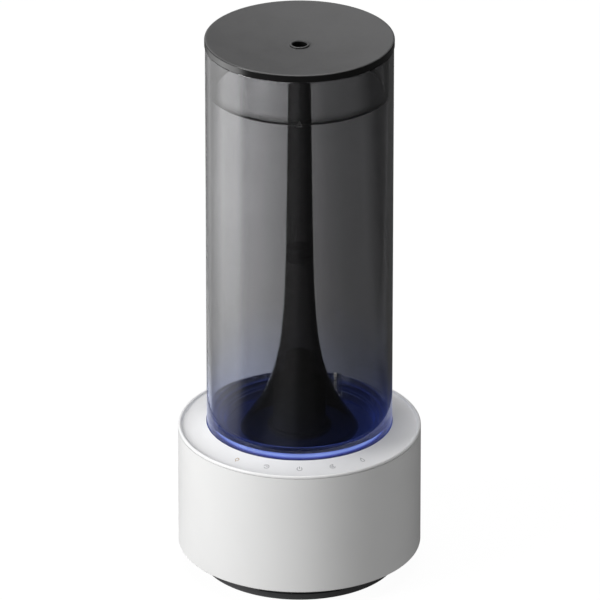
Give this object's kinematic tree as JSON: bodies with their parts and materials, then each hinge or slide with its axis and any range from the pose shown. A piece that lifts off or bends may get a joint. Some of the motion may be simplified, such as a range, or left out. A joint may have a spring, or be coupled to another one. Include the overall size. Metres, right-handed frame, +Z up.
{
  "type": "cool mist humidifier",
  "caption": "Round tabletop ultrasonic humidifier with a lift-off smoked cylinder tank, a trumpet-shaped mist tube and a dished lid over a white base with a light ring.",
  "frame": {"origin": "centre of the footprint on the table", "axes": "+Z up along the tank's axis, -Y towards the front with the touch keys, +X to the user's right"},
  "size_m": [0.145, 0.145, 0.339],
  "materials": {
    "shell_white": "satin",
    "panel_white": "satin",
    "foot_grey": "matt",
    "grille_black": "matt",
    "foot_rubber": "matt",
    "screw_steel": "satin",
    "filter_fibre": "matt",
    "fan_black": "satin",
    "duct_grey": "satin",
    "board_green": "satin",
    "parts_black": "satin",
    "sink_aluminium": "satin",
    "socket_steel": "satin",
    "basin_white": "satin",
    "gasket_grey": "matt",
    "lamp_white": "gloss",
    "light_blue": "satin",
    "spring_steel": "polished",
    "disc_brass": "satin",
    "seal_red": "matt",
    "float_white": "matt",
    "lead_red": "satin",
    "tank_smoke": "gloss",
    "seal_black": "matt",
    "guide_black": "satin",
    "cage_clear": "gloss",
    "tube_black": "gloss",
    "lid_grey": "satin",
    "skirt_smoke": "gloss"
  },
  "bodies": {
    "base": {"base_shell": "shell_white", "top_panel": "panel_white", "plinth": "foot_grey", "foot_plate": "foot_grey", "intake_grille": "grille_black", "filter_frame": "grille_black", "rubber_foot_1": "foot_rubber", "rubber_foot_2": "foot_rubber", "rubber_foot_3": "foot_rubber", "rubber_foot_4": "foot_rubber", "base_screws": "screw_steel", "foot_screws": "screw_steel", "chassis_screws": "screw_steel", "clamp_screws": "screw_steel", "transducer_clamp": "screw_steel", "air_filter": "filter_fibre", "fan_frame": "fan_black", "fan_stator": "fan_black", "air_duct": "duct_grey", "driver_board": "board_green", "usb_board": "board_green", "led_board": "board_green", "touch_board": "board_green", "board_parts": "parts_black", "float_sensor": "parts_black", "heat_sink": "sink_aluminium", "usb_socket": "socket_steel", "water_basin": "basin_white", "seat_gasket": "gasket_grey", "leds": "lamp_white", "light_ring": "light_blue", "touch_springs": "spring_steel", "transducer_disc": "disc_brass", "transducer_seal": "seal_red", "float_cap": "float_white", "wiring": "lead_red"},
    "tank": {"tank_shell": "tank_smoke", "tank_floor": "tank_smoke", "guide_seal": "seal_black", "mist_guide": "guide_black", "valve_cage": "cage_clear", "valve_spring": "spring_steel"},
    "valve": {"valve_plunger": "float_white", "valve_seal": "seal_black"},
    "mist_tube": {"tube_lower": "tube_black", "tube_upper": "tube_black", "tube_coupler": "guide_black", "bell_seal": "seal_black"},
    "lid": {"lid_cover": "lid_grey", "lid_skirt": "skirt_smoke", "lid_seal": "seal_black", "nozzle": "lid_grey", "nozzle_gasket": "seal_black"},
    "fan": {"fan_rotor": "fan_black"},
    "float_ring": {"float": "float_white"}
  },
  "joints": [
    {"name": "tank_lift", "type": "slide", "parent": "base", "child": "tank", "axis": [0, 0, 1], "range_m": [0, 0.05]},
    {"name": "valve_slide", "type": "slide", "parent": "tank", "child": "valve", "axis": [0, 0, 1], "range_m": [-0.0021, 0], "deforming": ["valve_spring"]},
    {"name": "tube_lift", "type": "slide", "parent": "tank", "child": "mist_tube", "axis": [0, 0, 1], "range_m": [0, 0.26]},
    {"name": "lid_lift", "type": "slide", "parent": "mist_tube", "child": "lid", "axis": [0, 0, 1], "range_m": [0, 0.045]},
    {"name": "fan_spin", "type": "hinge", "parent": "base", "child": "fan", "pos_m": [-0.028, 0.009, 0.022], "axis": [0, 0, 1], "continuous": true},
    {"name": "float_rise", "type": "slide", "parent": "base", "child": "float_ring", "axis": [0, 0, 1], "range_m": [0, 0.008]}
  ],
  "couplings": [
    {"joint": "valve_slide", "follows": "tank_lift", "ratio": -0.04}
  ]
}
